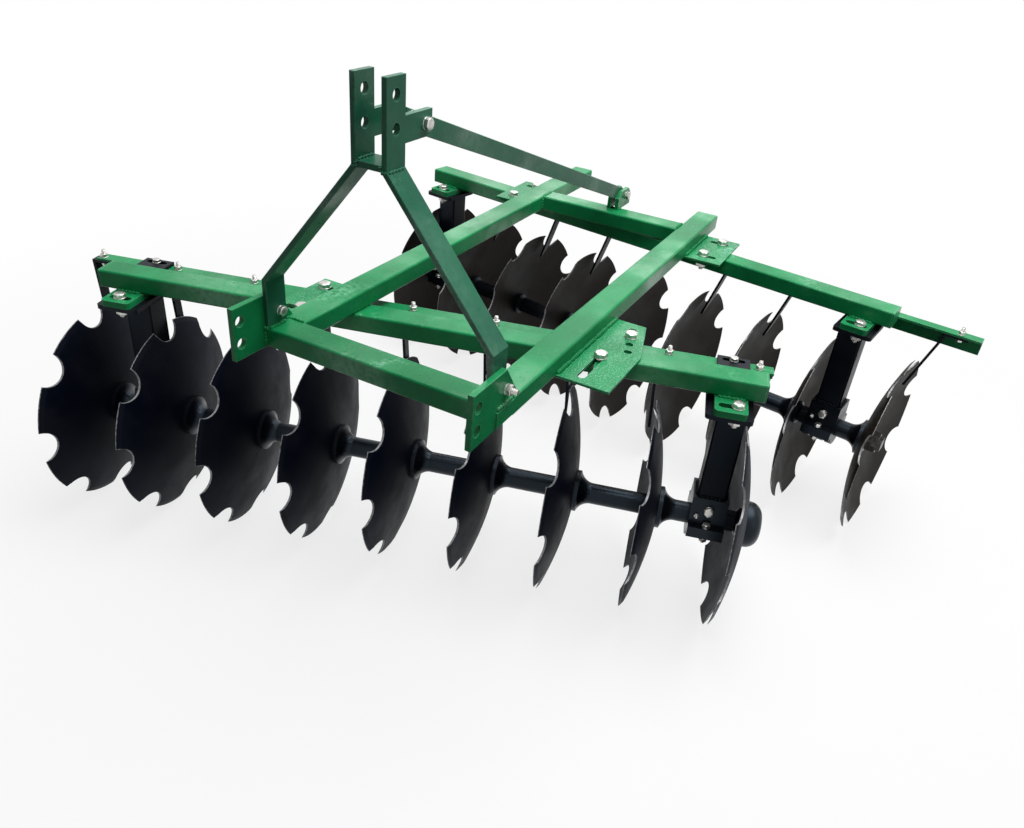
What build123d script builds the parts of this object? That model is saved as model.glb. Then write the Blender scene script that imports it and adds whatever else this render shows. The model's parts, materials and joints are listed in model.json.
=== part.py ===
from build123d import *
from math import acos, cos, hypot, radians, sin
import os

# Three-point mounted offset disc harrow: a welded tube frame with a headstock,
# and two rows (gangs) of nine notched, cupped discs that roll on the ground.
# Axes: +X is the way of travel, +Y the machine's left, +Z up, floor at Z = 0.
# All sizes are in millimetres.

# Middle of the overall box, measured in the layout below; every piece is
# placed from it so that the origin lies on the floor under that middle.
layout_mid_x = -78.2686
layout_mid_y = 40.5104

# Rectangular tube used for the whole frame, laid flat.
tube_width = 60.0
tube_height = 40.0
tube_wall = 4.0
tube_corner = 5.0
cap_thickness = 4.0

# Discs on a square shaft, held apart by spools.
disc_count = 9
disc_pitch = 184.8
disc_radius = 230.0
disc_thickness = 4.0
disc_cup = 41.0
disc_hub_flat = 48.0
rim_bevel = 10.0
rim_edge = 1.2
notch_count = 8
notch_radius = 38.0
notch_centre = disc_radius + 3.0
shaft_side = 30.0
shaft_gap = 0.3
spool_radius = 23.0
spool_foot_radius = 31.0
spool_foot_length = 9.0
spool_foot_taper = 6.0
bell_radius = 46.0
bell_length = 36.0
bell_rim = 9.0
end_bell_radius = 50.0
end_bell_nose = 26.0
end_bell_length = 36.0
washer_radius = 34.0
washer_thickness = 8.0
nut_across = 46.0
nut_height = 26.0
shaft_proud = 10.0

# Height of a gang's axis: the front discs stand on the two tips beside a
# notch, the rear discs on the middle of a tooth.
tip_turn = acos(
    (disc_radius ** 2 + notch_centre ** 2 - notch_radius ** 2) / (2 * disc_radius * notch_centre))
tip_height = disc_radius * cos(tip_turn)

# Heights of the beams.
standard_height = 312.0
gang_beam_bottom = disc_radius + standard_height
gang_beam_top = gang_beam_bottom + tube_height
frame_bottom = gang_beam_top
frame_top = frame_bottom + tube_height

# Two lengthwise beams and the cross tubes between them.
beam_inner = 197.0
beam_outer = beam_inner + tube_width
beam_middle = beam_inner + tube_width / 2
front_cross_rear = 503.0
front_cross_front = front_cross_rear + tube_width
left_beam_rear = -690.0
right_beam_rear = -845.0
rear_cross_front = -506.0
rear_cross_rear = rear_cross_front - tube_width

# Hitch plates for the tractor's lower links, inside the beams' outer walls.
hitch_thickness = 12.0
hitch_outer = beam_outer - tube_wall
hitch_inner = hitch_outer - hitch_thickness
hitch_rise = 64.0
hitch_top = frame_top + hitch_rise
hitch_slope_top = front_cross_rear + 29.0
hitch_slope_foot = front_cross_rear - 17.0
lower_link_reach = 60.0
lower_link_x = front_cross_front + lower_link_reach
lower_link_margin = 17.0
hitch_front = lower_link_x + lower_link_margin
lower_link_heights = (frame_top + 35.0, frame_top - 9.0)
lower_link_bore = 22.4

# Headstock: two flat bars, upright at the top and spread into legs.
mast_thickness = 10.0
mast_width = 50.0
mast_front = front_cross_front
mast_rear = mast_front - mast_width
mast_middle_x = (mast_front + mast_rear) / 2
mast_gap = 48.0
foot_height = 94.0
leg_rise = 250.0
upright_length = 139.0
leg_bend = frame_top + foot_height
mast_bend = leg_bend + leg_rise
mast_top = mast_bend + upright_length
bend_radius = 10.0
top_link_drop = 27.0
top_link_spacing = 50.0
top_link_heights = (mast_top - top_link_drop, mast_top - top_link_drop - top_link_spacing)
top_link_bore = 19.4
foot_bolt_x = mast_rear + 17.0
foot_bolt_z = frame_top + 26.0
frame_bolt_hole = 17.0
spacer_thickness = 10.0
edge_break = 1.0

# Brace from the headstock down to the rear cross tube.
brace_height = 33.0
brace_thickness = 12.0
brace_pin_radius = 8.0
brace_pin_head = 4.0
brace_collar_radius = 15.0
brace_front_x = mast_rear - 55.0
brace_front_z = mast_top - 81.0
mast_lug_half = 21.0
mast_lug_rear = brace_front_x - 18.0
mast_lug_top = brace_front_z + mast_lug_half
mast_lug_bottom = brace_front_z - mast_lug_half
brace_rear_x = rear_cross_rear - 26.0
brace_rear_z = frame_top + 30.0
brace_lug_thickness = 10.0
brace_lug_front = rear_cross_rear + 26.0
brace_lug_rear = brace_rear_x - 34.0
brace_lug_crown = 18.0
brace_lug_corner = 20.0

# Gang layout: each gang is set at an angle and shifted along its own axis.
front_axis_x = 265.0
front_angle = 16.1
rear_axis_x = -561.0
rear_angle = 8.5
gang_shifts = {"front": 86.0, "rear": 76.0}

# Standards that carry the gangs under their beams, set off the middle of the
# outer spools, and the beam length that they need.
standard_shift = -14.0
standard_span = disc_pitch * (disc_count - 2) / 2
beam_overhang = 63.2
gang_beam_half = standard_span + beam_overhang
post_side = 60.0
post_wall = 5.0
seat_length = 64.0
seat_shift = 12.0
seat_height = 14.0
seat_corner = 8.0
seat_reach = 86.0
seat_bolt = 62.0
seat_slot = 34.0
seat_slot_width = 17.0
seat_bottom = gang_beam_bottom - seat_height
flange_thickness = 10.0
flange_margin = 4.0
flange_length = post_side + 2 * (abs(seat_shift) + flange_margin)
flange_reach = seat_reach - 2.0
flange_rear = 33.0
flange_bottom = seat_bottom - flange_thickness

# Bearing housings: a block under each post and a half-round cap below.
housing_length = 76.0
housing_rise = 70.0
housing_shoulder = 6.0
housing_radius = 47.0
ear_reach = 66.0
ear_thickness = 13.0
ear_bolt = 56.0
ear_bolt_hole = 13.0
cap_groove_width = 7.0
cap_groove_depth = 3.5
cap_groove_place = 18.0
running_gap = 0.05

# Scraper bars behind the gang beams, their holders and the scrapers. The two
# bars are set differently: the front one further back and nearer to its discs.
scraper_bar_fronts = {"front": 68.0, "rear": 42.0}
scraper_bar_tops = {"front": gang_beam_bottom + 18.0, "rear": gang_beam_bottom + 8.0}
scraper_bar_pasts = {"front": 49.0, "rear": 163.0}
scraper_bar_margin = 8.0
scraper_bar_flange = 30.0
scraper_bar_drop = 42.0
scraper_bar_wall = 5.0
holder_length = 66.0
holder_thickness = 8.0
holder_slot_width = 13.0
scraper_width = 24.0
scraper_thickness = 6.0
scraper_inset = 0.5
scraper_bends = {"front": 58.0, "rear": 85.0}
scraper_flats = {"front": -42.0, "rear": 50.0}
scraper_tips = {"front": 48.0, "rear": 36.0}
scraper_tip_rise = 155.0
scraper_tip_cut = 38.0

# Bracket plates welded outside the beams, over the gang beams. The front left
# one sets the gang angle: a slot in front and a row of holes behind.
bracket_thickness = 6.0
bracket_outer = beam_outer + 93.0
bracket_half = 95.0
bracket_bolt = 58.0
bracket_slot = 34.0
lug_length = 50.0
lug_thickness = 8.0
lug_reach = 56.0
angle_bracket_outer = beam_outer + 109.0
angle_bracket_ahead = 160.0
angle_bracket_behind = 140.0
angle_bracket_taper = 136.0
angle_bracket_nip = 40.0
angle_slot_y = beam_outer + 42.0
angle_slot_start = 26.0
angle_slot_end = 142.0
angle_hole_y = angle_bracket_outer - 31.0
angle_hole_count = 4
angle_hole_pitch = 34.0
angle_bolt_hole = 2


def level(z):
    """Horizontal plane at a height; local axes are machine X and Y."""
    return Plane(origin=(-layout_mid_x, -layout_mid_y, z), x_dir=(1, 0, 0), z_dir=(0, 0, 1))


def side(y):
    """Upright lengthwise plane; local axes are machine X and Z, normal to the right."""
    return Plane(origin=(-layout_mid_x, y - layout_mid_y, 0), x_dir=(1, 0, 0), z_dir=(0, -1, 0))


def face(x):
    """Upright crosswise plane; local axes are machine Y and Z, normal forward."""
    return Plane(origin=(x - layout_mid_x, -layout_mid_y, 0), x_dir=(0, 1, 0), z_dir=(1, 0, 0))


class Gang:
    """A row of discs: where its axis lies and which way its discs are cupped.

    Places are given as (along, back, height): along the axis towards the
    cupped side, back from the axis against the travel, and up from the floor.
    """

    def __init__(self, name, hand, axis_x, angle, axis_height, notch_turn):
        self.name = name
        self.hand = hand
        self.axis_height = axis_height
        self.notch_turn = notch_turn
        self.housing_top = axis_height + housing_rise
        self.bar_front = scraper_bar_fronts[name]
        self.bar_rear = self.bar_front + scraper_bar_flange
        self.bar_top = scraper_bar_tops[name]
        self.scraper_top = self.bar_top - scraper_bar_wall - scraper_thickness / 2
        self.scraper_bend = scraper_bends[name]
        self.scraper_end = self.scraper_bend + scraper_flats[name]
        self.scraper_tip = scraper_tips[name]
        turn = radians(angle)
        self.along = Vector(sin(turn), hand * cos(turn), 0)
        self.back = Vector(-cos(turn), hand * sin(turn), 0)
        start = Vector(axis_x - layout_mid_x, -layout_mid_y, 0)
        self.origin = start + self.along * gang_shifts[name]

    def place(self, along, back, height):
        return self.origin + self.along * along + self.back * back + Vector(0, 0, height)

    def section(self, along):
        """Plane across the axis; local x is hand times back, local y is up."""
        return Plane(origin=self.place(along, 0, 0), x_dir=self.back * self.hand, z_dir=self.along)

    def floor(self, height):
        """Horizontal plane; local x is along, local y is hand times back."""
        return Plane(origin=self.place(0, 0, height), x_dir=self.along, z_dir=(0, 0, 1))

    def spin(self):
        """Upright plane through the axis; local x is along, local y is the radius."""
        return Plane(
            origin=self.place(0, 0, self.axis_height), x_dir=self.along, z_dir=self.back * -self.hand)

    def axis(self):
        return Axis(self.place(0, 0, self.axis_height), self.along)

    def upright(self, back):
        """Upright plane along the gang; local x is along, local y is up."""
        return Plane(origin=self.place(0, back, 0), x_dir=self.along, z_dir=self.back * -self.hand)


front_gang = Gang("front", -1, front_axis_x, front_angle, tip_height, 0)
rear_gang = Gang("rear", 1, rear_axis_x, rear_angle, disc_radius, 180 / notch_count)
hub_places = [(i - (disc_count - 1) / 2) * disc_pitch for i in range(disc_count)]
standard_places = [end * standard_span + standard_shift for end in (-1, 1)]
seat_places = [place + seat_shift for place in standard_places]

os.makedirs("parts", exist_ok=True)


def save(builder, name):
    builder.part.label = name
    export_step(builder.part, f"parts/{name}.step")


def bar_outline(path, thickness):
    """Outline of a flat bar bent along a path of points, mitred at the bends."""
    half = thickness / 2
    near, far = [], []
    last = len(path) - 1
    for i, (u, v) in enumerate(path):
        normals = []
        for j, k in ((i - 1, i), (i, i + 1)):
            if j >= 0 and k <= last:
                du = path[k][0] - path[j][0]
                dv = path[k][1] - path[j][1]
                size = hypot(du, dv)
                normals.append((-dv / size, du / size))
        nu = sum(n[0] for n in normals) / len(normals)
        nv = sum(n[1] for n in normals) / len(normals)
        scale = half / (nu * nu + nv * nv)
        near.append((u + nu * scale, v + nv * scale))
        far.append((u - nu * scale, v - nv * scale))
    return near + far[::-1]


# Frame

def lengthwise_beam(name, hand, rear):
    with BuildPart() as beam:
        with BuildSketch(face(rear)):
            with Locations((hand * beam_middle, (frame_bottom + frame_top) / 2)):
                RectangleRounded(tube_width, tube_height, tube_corner)
                RectangleRounded(
                    tube_width - 2 * tube_wall, tube_height - 2 * tube_wall,
                    tube_corner - tube_wall / 2, mode=Mode.SUBTRACT)
        extrude(amount=front_cross_rear - rear)
        with BuildSketch(face(front_cross_rear - 1)):
            with Locations((hand * (beam_outer - tube_wall / 2), (frame_bottom + frame_top) / 2)):
                Rectangle(tube_wall, tube_height - 2 * tube_corner)
        extrude(amount=tube_width + 1)
    save(beam, name)


lengthwise_beam("left_beam", 1, left_beam_rear)
lengthwise_beam("right_beam", -1, right_beam_rear)


def cross_tube(name, rear, half_length):
    with BuildPart() as tube:
        with BuildSketch(side(0)):
            with Locations((rear + tube_width / 2, (frame_bottom + frame_top) / 2)):
                RectangleRounded(tube_width, tube_height, tube_corner)
                RectangleRounded(
                    tube_width - 2 * tube_wall, tube_height - 2 * tube_wall,
                    tube_corner - tube_wall / 2, mode=Mode.SUBTRACT)
        extrude(amount=half_length, both=True)
    save(tube, name)


cross_tube("front_cross_tube", front_cross_rear, hitch_inner)
cross_tube("rear_cross_tube", rear_cross_rear, beam_inner)


def tube_caps():
    """Plates that close the rear ends of the beams and both ends of the gang beams."""
    with BuildPart() as caps:
        for hand, rear in ((1, left_beam_rear), (-1, right_beam_rear)):
            with BuildSketch(face(rear)):
                with Locations((hand * beam_middle, (frame_bottom + frame_top) / 2)):
                    RectangleRounded(tube_width, tube_height, tube_corner)
            extrude(amount=-cap_thickness)
        for gang in (front_gang, rear_gang):
            for end in (-1, 1):
                with BuildSketch(gang.section(end * gang_beam_half)):
                    with Locations((0, (gang_beam_bottom + gang_beam_top) / 2)):
                        RectangleRounded(tube_width, tube_height, tube_corner)
                extrude(amount=end * cap_thickness)
    save(caps, "tube_caps")


tube_caps()


def hitch_plate(name, hand):
    with BuildPart() as plate:
        with BuildSketch(side(hand * hitch_inner)):
            with BuildLine():
                Polyline(
                    (front_cross_rear, frame_bottom), (hitch_front, frame_bottom),
                    (hitch_front, hitch_top), (hitch_slope_top, hitch_top),
                    (hitch_slope_foot, frame_top), (front_cross_rear, frame_top), close=True)
            make_face()
            with Locations(*[(lower_link_x, z) for z in lower_link_heights]):
                Circle(lower_link_bore / 2, mode=Mode.SUBTRACT)
            with Locations((foot_bolt_x, foot_bolt_z)):
                Circle(frame_bolt_hole / 2, mode=Mode.SUBTRACT)
        extrude(amount=-hand * hitch_thickness)
        sides = plate.faces().filter_by(Axis.Y)
        chamfer([e for f in sides for e in f.outer_wire().edges()], edge_break)
    save(plate, name)


hitch_plate("left_hitch_plate", 1)
hitch_plate("right_hitch_plate", -1)


# Headstock

def mast_bar(name, hand):
    """One bent flat bar of the headstock with the lug that holds the brace."""
    upright_y = hand * (mast_gap + mast_thickness) / 2
    foot_y = hand * (hitch_inner - mast_thickness / 2)
    path = [(upright_y, mast_top), (upright_y, mast_bend), (foot_y, leg_bend), (foot_y, frame_top)]
    with BuildPart() as bar:
        with BuildSketch(face(mast_rear)) as outline:
            with BuildLine():
                Polyline(*bar_outline(path, mast_thickness), close=True)
            make_face()
            ends = [v for v in outline.vertices() if min(v.Z - frame_top, mast_top - v.Z) < edge_break]
            fillet([v for v in outline.vertices() if v not in ends], bend_radius)
        extrude(amount=mast_width)
        edge_faces = bar.faces().filter_by(Axis.X)
        chamfer([e for f in edge_faces for e in f.outer_wire().edges()], edge_break)
        with BuildSketch(side(upright_y)):
            with BuildLine():
                Polyline(
                    (mast_middle_x, mast_lug_bottom), (mast_middle_x, mast_lug_top),
                    (mast_lug_rear, mast_lug_top), (mast_lug_rear, mast_lug_bottom), close=True)
            make_face()
        extrude(amount=mast_thickness / 2, both=True)
        with BuildSketch(side(upright_y)):
            with Locations(*[(mast_middle_x, z) for z in top_link_heights]):
                Circle(top_link_bore / 2)
            with Locations((brace_front_x, brace_front_z)):
                Circle(brace_pin_radius + running_gap)
        extrude(amount=mast_thickness, both=True, mode=Mode.SUBTRACT)
        with BuildSketch(side(foot_y)):
            with Locations((foot_bolt_x, foot_bolt_z)):
                Circle(frame_bolt_hole / 2)
        extrude(amount=mast_thickness, both=True, mode=Mode.SUBTRACT)
    save(bar, name)


mast_bar("left_mast_bar", 1)
mast_bar("right_mast_bar", -1)

with BuildPart() as mast_spacer:
    with BuildSketch(level(mast_bend)):
        with Locations((mast_middle_x, 0)):
            Rectangle(mast_width, mast_gap)
    extrude(amount=spacer_thickness)
save(mast_spacer, "mast_spacer")


# Brace

def brace():
    run = brace_front_x - brace_rear_x
    rise = brace_front_z - brace_rear_z
    size = hypot(run, rise)
    reach = brace_height / 2
    ends = [
        (brace_rear_x - reach * run / size, brace_rear_z - reach * rise / size),
        (brace_front_x + reach * run / size, brace_front_z + reach * rise / size)]
    with BuildPart() as bar:
        with BuildSketch(side(0)):
            with BuildLine():
                Polyline(*bar_outline(ends, brace_height), close=True)
            make_face()
            with Locations((brace_front_x, brace_front_z), (brace_rear_x, brace_rear_z)):
                Circle(brace_pin_radius + running_gap, mode=Mode.SUBTRACT)
        extrude(amount=brace_thickness / 2, both=True)
        sides = bar.faces().filter_by(Axis.Y)
        chamfer([e for f in sides for e in f.outer_wire().edges()], edge_break)
    save(bar, "brace_bar")


brace()

with BuildPart() as brace_lugs:
    for hand in (-1, 1):
        with BuildSketch(side(hand * brace_thickness / 2)):
            with BuildLine():
                Polyline(
                    (brace_lug_rear, frame_top), (brace_lug_front, frame_top),
                    (brace_lug_front, brace_rear_z),
                    (brace_lug_front - brace_lug_corner, brace_rear_z + brace_lug_crown),
                    (brace_lug_rear + brace_lug_corner, brace_rear_z + brace_lug_crown),
                    (brace_lug_rear, brace_rear_z), close=True)
            make_face()
            with Locations((brace_rear_x, brace_rear_z)):
                Circle(brace_pin_radius + running_gap, mode=Mode.SUBTRACT)
        extrude(amount=-hand * brace_lug_thickness)
save(brace_lugs, "brace_lugs")

with BuildPart() as brace_pins:
    with BuildSketch(side(0)):
        with Locations((brace_front_x, brace_front_z)):
            Circle(brace_pin_radius)
    extrude(amount=mast_gap / 2 + mast_thickness + brace_pin_head, both=True)
    for hand in (-1, 1):
        with BuildSketch(side(hand * brace_thickness / 2)):
            with Locations((brace_front_x, brace_front_z)):
                Circle(brace_collar_radius)
        extrude(amount=-hand * (mast_gap - brace_thickness) / 2)
    with BuildSketch(side(0)):
        with Locations((brace_rear_x, brace_rear_z)):
            Circle(brace_pin_radius)
    extrude(amount=brace_thickness / 2 + brace_lug_thickness + brace_pin_head, both=True)
save(brace_pins, "brace_pins")


# Brackets between the beams and the gang beams

def along_crossing(gang, y):
    """Distance along a gang's axis to where it passes a given layout Y."""
    return (y - layout_mid_y - gang.origin.Y) / gang.along.Y


def beam_crossing(gang, y):
    """Layout X of a gang's axis where it passes a given layout Y."""
    return gang.origin.X + layout_mid_x + gang.along.X * along_crossing(gang, y)


angle_hole_along = along_crossing(front_gang, angle_hole_y)


def bracket(name, hand, outline, holes, slots):
    """Plate with round holes, given as points, and slots, given as (x, y, length, turn)."""
    with BuildPart() as plate:
        with BuildSketch(level(frame_bottom)):
            with BuildLine():
                Polyline(*[(x, hand * y) for x, y in outline], close=True)
            make_face()
            for x, y in holes:
                with Locations((x, hand * y)):
                    Circle(frame_bolt_hole / 2, mode=Mode.SUBTRACT)
            for x, y, size, turn in slots:
                with Locations(Location((x, hand * y), turn)):
                    SlotOverall(size, frame_bolt_hole, mode=Mode.SUBTRACT)
        extrude(amount=bracket_thickness)
        faces = plate.faces().filter_by(Axis.Z)
        chamfer([e for f in faces for e in f.outer_wire().edges()], edge_break)
    save(plate, name)


def plain_bracket(name, gang, hand):
    middle_y = (beam_outer + bracket_outer) / 2
    middle_x = beam_crossing(gang, hand * middle_y)
    front = middle_x + bracket_half
    rear = middle_x - bracket_half
    outline = [(rear, beam_outer), (front, beam_outer), (front, bracket_outer), (rear, bracket_outer)]
    size = bracket_slot + frame_bolt_hole
    slots = [(middle_x + s * bracket_bolt, middle_y, size, 90) for s in (-1, 1)]
    bracket(name, hand, outline, [], slots)


def front_left_bracket():
    crossing = beam_crossing(front_gang, angle_slot_y)
    front = crossing + angle_bracket_ahead
    rear = crossing - angle_bracket_behind
    outer = angle_bracket_outer
    outline = [
        (rear, beam_outer), (front, beam_outer), (front, outer), (rear + angle_bracket_taper, outer),
        (rear, outer - angle_bracket_nip)]
    spots = [front_gang.place(angle_hole_along, i * angle_hole_pitch, 0) for i in range(angle_hole_count)]
    holes = [(spot.X + layout_mid_x, spot.Y + layout_mid_y) for spot in spots]
    slot_middle = crossing + (angle_slot_start + angle_slot_end) / 2
    slots = [(slot_middle, angle_slot_y, angle_slot_end - angle_slot_start, 0)]
    bracket("front_left_bracket", 1, outline, holes, slots)


front_left_bracket()
plain_bracket("front_right_bracket", front_gang, -1)
plain_bracket("rear_left_bracket", rear_gang, 1)
plain_bracket("rear_right_bracket", rear_gang, -1)


# Gangs

def gang_beam(gang):
    with BuildPart() as beam:
        with BuildSketch(gang.section(-gang_beam_half)):
            with Locations((0, (gang_beam_bottom + gang_beam_top) / 2)):
                RectangleRounded(tube_width, tube_height, tube_corner)
                RectangleRounded(
                    tube_width - 2 * tube_wall, tube_height - 2 * tube_wall,
                    tube_corner - tube_wall / 2, mode=Mode.SUBTRACT)
        extrude(amount=2 * gang_beam_half)
    save(beam, f"{gang.name}_gang_beam")


def bracket_lugs(gang):
    """Lugs on the gang beam that the bracket bolts pass through."""
    with BuildPart() as lugs:
        for hand in (-1, 1):
            along = along_crossing(gang, hand * (beam_outer + bracket_outer) / 2)
            for back in (-1, 1):
                bolt = (along, back * bracket_bolt)
                if gang is front_gang and hand > 0 and back > 0:
                    bolt = (angle_hole_along, angle_bolt_hole * angle_hole_pitch)
                with BuildSketch(gang.floor(gang_beam_top)):
                    with Locations((bolt[0], gang.hand * back * (tube_width + lug_reach) / 2)):
                        Rectangle(lug_length, lug_reach)
                    with Locations((bolt[0], gang.hand * bolt[1])):
                        Circle(frame_bolt_hole / 2, mode=Mode.SUBTRACT)
                extrude(amount=-lug_thickness)
    save(lugs, f"{gang.name}_bracket_lugs")


def standard_seats(gang):
    """Thick slotted seats under the gang beam that reach out in front of it."""
    length = seat_reach + tube_width / 2
    middle = gang.hand * (tube_width / 2 - seat_reach) / 2
    with BuildPart() as seats:
        for place in seat_places:
            with BuildSketch(gang.floor(seat_bottom)):
                with Locations((place, middle)):
                    RectangleRounded(seat_length, length, seat_corner)
                with Locations((place, -gang.hand * seat_bolt)):
                    SlotCenterToCenter(seat_slot, seat_slot_width, mode=Mode.SUBTRACT)
            extrude(amount=seat_height)
    save(seats, f"{gang.name}_standard_seats")


def standard(gang, place, name):
    """Square post with a flange on top, bolted under the seat."""
    with BuildPart() as post:
        with BuildSketch(gang.floor(seat_bottom)):
            with Locations((place + seat_shift, gang.hand * (flange_rear - flange_reach) / 2)):
                RectangleRounded(flange_length, flange_reach + flange_rear, seat_corner)
            with Locations((place + seat_shift, -gang.hand * seat_bolt)):
                SlotCenterToCenter(seat_slot, seat_slot_width, mode=Mode.SUBTRACT)
        extrude(amount=-flange_thickness)
        with BuildSketch(gang.floor(gang.housing_top)):
            with Locations((place, 0)):
                RectangleRounded(post_side, post_side, tube_corner)
                RectangleRounded(
                    post_side - 2 * post_wall, post_side - 2 * post_wall,
                    tube_corner - post_wall / 2, mode=Mode.SUBTRACT)
        extrude(amount=flange_bottom - gang.housing_top)
    save(post, name)


def bearing_blocks(gang):
    """Upper halves of the bearing housings: shoulders under the post and an ear on each side."""
    base = gang.axis_height
    shoulder = post_side / 2 + housing_shoulder
    with BuildPart() as blocks:
        for place in standard_places:
            with BuildSketch(gang.section(place)):
                with BuildLine():
                    Polyline(
                        (-ear_reach, base), (ear_reach, base), (ear_reach, base + ear_thickness),
                        (housing_radius, base + ear_thickness), (shoulder, gang.housing_top),
                        (-shoulder, gang.housing_top), (-housing_radius, base + ear_thickness),
                        (-ear_reach, base + ear_thickness), close=True)
                make_face()
                with Locations((0, base)):
                    Circle(spool_radius + running_gap, mode=Mode.SUBTRACT)
            extrude(amount=housing_length / 2, both=True)
            with BuildSketch(gang.floor(base)):
                with Locations((place, -ear_bolt), (place, ear_bolt)):
                    Circle(ear_bolt_hole / 2)
            extrude(amount=ear_thickness, mode=Mode.SUBTRACT)
    save(blocks, f"{gang.name}_bearing_blocks")


def bearing_caps(gang):
    """Lower half-round caps of the bearing housings, with an ear on each side and two grooves."""
    base = gang.axis_height
    with BuildPart() as caps:
        for place in standard_places:
            with BuildSketch(gang.section(place)):
                with Locations((0, base)):
                    Circle(housing_radius)
                with Locations((0, base + housing_radius / 2)):
                    Rectangle(2 * ear_reach, housing_radius, mode=Mode.SUBTRACT)
                with Locations((0, base - ear_thickness / 2)):
                    Rectangle(2 * ear_reach, ear_thickness)
                with Locations((0, base)):
                    Circle(spool_radius + running_gap, mode=Mode.SUBTRACT)
            extrude(amount=housing_length / 2, both=True)
            with BuildSketch(gang.floor(base)):
                with Locations((place, -ear_bolt), (place, ear_bolt)):
                    Circle(ear_bolt_hole / 2)
            extrude(amount=-ear_thickness, mode=Mode.SUBTRACT)
            for groove in (-cap_groove_place, cap_groove_place):
                with BuildSketch(gang.section(place + groove)):
                    with Locations((0, base)):
                        Circle(housing_radius + cap_groove_depth)
                        Circle(housing_radius - cap_groove_depth, mode=Mode.SUBTRACT)
                    with Locations((0, base - ear_thickness + ear_reach)):
                        Rectangle(2 * ear_reach, 2 * ear_reach, mode=Mode.SUBTRACT)
                extrude(amount=cap_groove_width / 2, both=True, mode=Mode.SUBTRACT)
    save(caps, f"{gang.name}_bearing_caps")


def cup_at(radius):
    """How far the middle of a disc's sheet stands out of its hub at a radius."""
    return disc_cup * (radius ** 2 - disc_hub_flat ** 2) / (disc_radius ** 2 - disc_hub_flat ** 2)


def discs(gang):
    """Notched, cupped discs with a ground rim, each with a flat hub and a square hole."""
    half = disc_thickness / 2
    ground = disc_radius - rim_bevel
    mid_in = (disc_hub_flat + disc_radius) / 2
    mid_out = (disc_hub_flat + ground) / 2
    with BuildPart() as row:
        for hub in hub_places:
            spin = Plane(
                origin=gang.place(hub, 0, gang.axis_height), x_dir=(0, 0, 1), z_dir=gang.back * gang.hand)
            with BuildSketch(spin):
                with BuildLine():
                    Line((0, -half), (disc_hub_flat, -half))
                    ThreePointArc(
                        (disc_hub_flat, -half), (mid_out, cup_at(mid_out) - half),
                        (ground, cup_at(ground) - half))
                    Line((ground, cup_at(ground) - half), (disc_radius, disc_cup + half - rim_edge))
                    Line((disc_radius, disc_cup + half - rim_edge), (disc_radius, disc_cup + half))
                    ThreePointArc(
                        (disc_radius, disc_cup + half), (mid_in, cup_at(mid_in) + half),
                        (disc_hub_flat, half))
                    Line((disc_hub_flat, half), (0, half))
                    Line((0, half), (0, -half))
                make_face()
            revolve(axis=gang.axis())
            with BuildSketch(gang.section(hub - disc_cup)):
                with Locations((0, gang.axis_height)):
                    Rectangle(shaft_side + 2 * shaft_gap, shaft_side + 2 * shaft_gap)
                    with PolarLocations(notch_centre, notch_count, gang.notch_turn):
                        Circle(notch_radius)
            extrude(amount=3 * disc_cup, mode=Mode.SUBTRACT)
    save(row, f"{gang.name}_discs")


def spools(gang):
    """Spools between the discs: a foot on the cupped side, a flared bell on the next disc's back."""
    with BuildPart() as row:
        for before, after in zip(hub_places, hub_places[1:]):
            start = before + disc_thickness / 2
            stop = after - disc_thickness / 2
            neck = start + spool_foot_length + spool_foot_taper
            flare = stop - bell_length
            rim = stop - bell_rim
            with BuildSketch(gang.spin()):
                with BuildLine():
                    Polyline(
                        (flare, spool_radius), (neck, spool_radius),
                        (start + spool_foot_length, spool_foot_radius), (start, spool_foot_radius),
                        (start, 0), (stop, 0), (stop, bell_radius), (rim, bell_radius))
                    ThreePointArc(
                        (rim, bell_radius),
                        (flare + (rim - flare) * 0.65, spool_radius + (bell_radius - spool_radius) * 0.35),
                        (flare, spool_radius))
                make_face()
            revolve(axis=gang.axis())
        with BuildSketch(gang.section(hub_places[0])):
            with Locations((0, gang.axis_height)):
                Rectangle(shaft_side + 2 * shaft_gap, shaft_side + 2 * shaft_gap)
        extrude(amount=hub_places[-1] - hub_places[0], mode=Mode.SUBTRACT)
    save(row, f"{gang.name}_spools")


def end_bell(gang):
    """Domed bell against the back of the last disc."""
    stop = hub_places[0] - disc_thickness / 2
    start = stop - end_bell_length
    with BuildPart() as bell:
        with BuildSketch(gang.spin()):
            with BuildLine():
                Polyline(
                    (stop - bell_rim, end_bell_radius), (stop, end_bell_radius), (stop, 0), (start, 0),
                    (start, end_bell_nose))
                ThreePointArc(
                    (start, end_bell_nose),
                    (start + end_bell_length * 0.25,
                     end_bell_nose + (end_bell_radius - end_bell_nose) * 0.7),
                    (stop - bell_rim, end_bell_radius))
            make_face()
        revolve(axis=gang.axis())
        with BuildSketch(gang.section(start)):
            with Locations((0, gang.axis_height)):
                Rectangle(shaft_side + 2 * shaft_gap, shaft_side + 2 * shaft_gap)
        extrude(amount=end_bell_length, mode=Mode.SUBTRACT)
    save(bell, f"{gang.name}_end_bell")


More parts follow.
